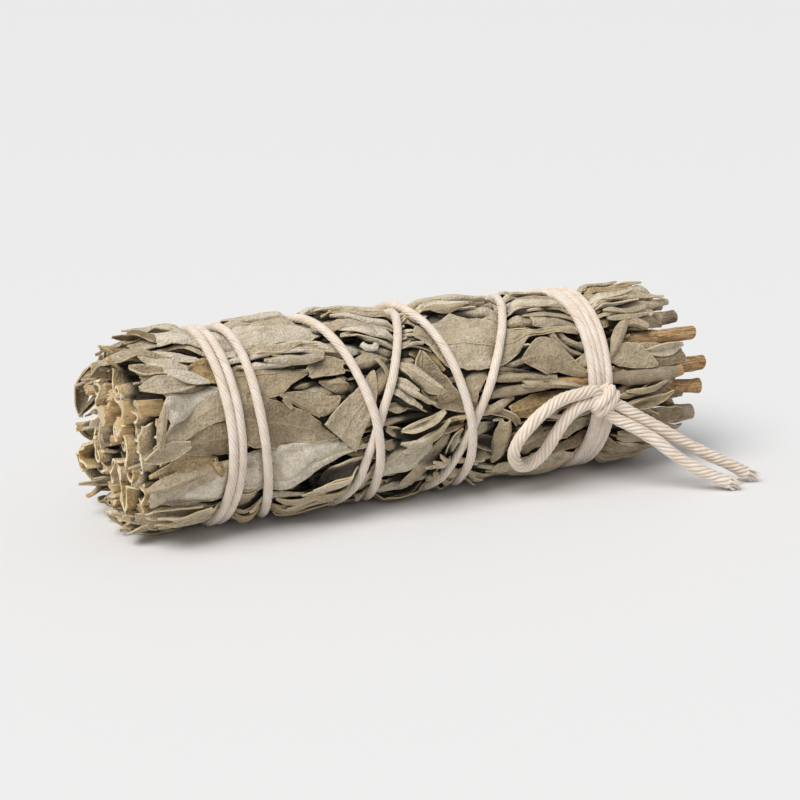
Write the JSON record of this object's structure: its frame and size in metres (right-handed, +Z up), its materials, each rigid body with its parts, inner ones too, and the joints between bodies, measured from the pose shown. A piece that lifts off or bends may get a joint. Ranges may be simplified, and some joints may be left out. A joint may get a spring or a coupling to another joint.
{
  "type": "sage bunch",
  "caption": "Bundle of dried sage stems and pressed leaves, bound in a crisscross of cotton string that ends in a bow with one loop and two loose tails; lies on its flattened side.",
  "frame": {"origin": "on the ground under the middle of the bundle, bow left out of the box except for its knot", "axes": "+X along the bundle towards the cut stem ends, +Z up; the knot and bow are at the front, -Y"},
  "size_m": [0.1115, 0.048, 0.0347],
  "materials": {
    "leaf": "dry, matte, downy grey-green leaf with tan ribs and edges",
    "stem": "rough grey-brown bark with bare cut ends",
    "string": "undyed three-ply cotton twine"
  },
  "bodies": {
    "root": {"binding_string": "string", "bow_loop": "string", "inner_leaf_1": "leaf", "inner_leaf_2": "leaf", "inner_leaf_3": "leaf", "leaf_fragment_1": "leaf", "leaf_fragment_2": "leaf", "leaf_fragment_3": "leaf", "middle_leaf_1": "leaf", "middle_leaf_2": "leaf", "middle_leaf_3": "leaf", "middle_leaf_4": "leaf", "middle_leaf_5": "leaf", "middle_leaf_6": "leaf", "middle_leaf_7": "leaf", "middle_leaf_8": "leaf", "outer_leaf_1": "leaf", "outer_leaf_10": "leaf", "outer_leaf_11": "leaf", "outer_leaf_12": "leaf", "outer_leaf_13": "leaf", "outer_leaf_14": "leaf", "outer_leaf_15": "leaf", "outer_leaf_16": "leaf", "outer_leaf_17": "leaf", "outer_leaf_18": "leaf", "outer_leaf_19": "leaf", "outer_leaf_2": "leaf", "outer_leaf_20": "leaf", "outer_leaf_21": "leaf", "outer_leaf_22": "leaf", "outer_leaf_3": "leaf", "outer_leaf_4": "leaf", "outer_leaf_5": "leaf", "outer_leaf_6": "leaf", "outer_leaf_7": "leaf", "outer_leaf_8": "leaf", "outer_leaf_9": "leaf", "rolled_leaf_1": "leaf", "rolled_leaf_2": "leaf", "rolled_leaf_3": "leaf", "rolled_leaf_4": "leaf", "stem_1": "stem", "stem_10": "stem", "stem_11": "stem", "stem_12": "stem", "stem_13": "stem", "stem_2": "stem", "stem_3": "stem", "stem_4": "stem", "stem_5": "stem", "stem_6": "stem", "stem_7": "stem", "stem_8": "stem", "stem_9": "stem", "string_knot": "string", "tail_lower": "string", "tail_upper": "string", "under_leaf_1": "leaf", "under_leaf_2": "leaf"}
  },
  "joints": []
}
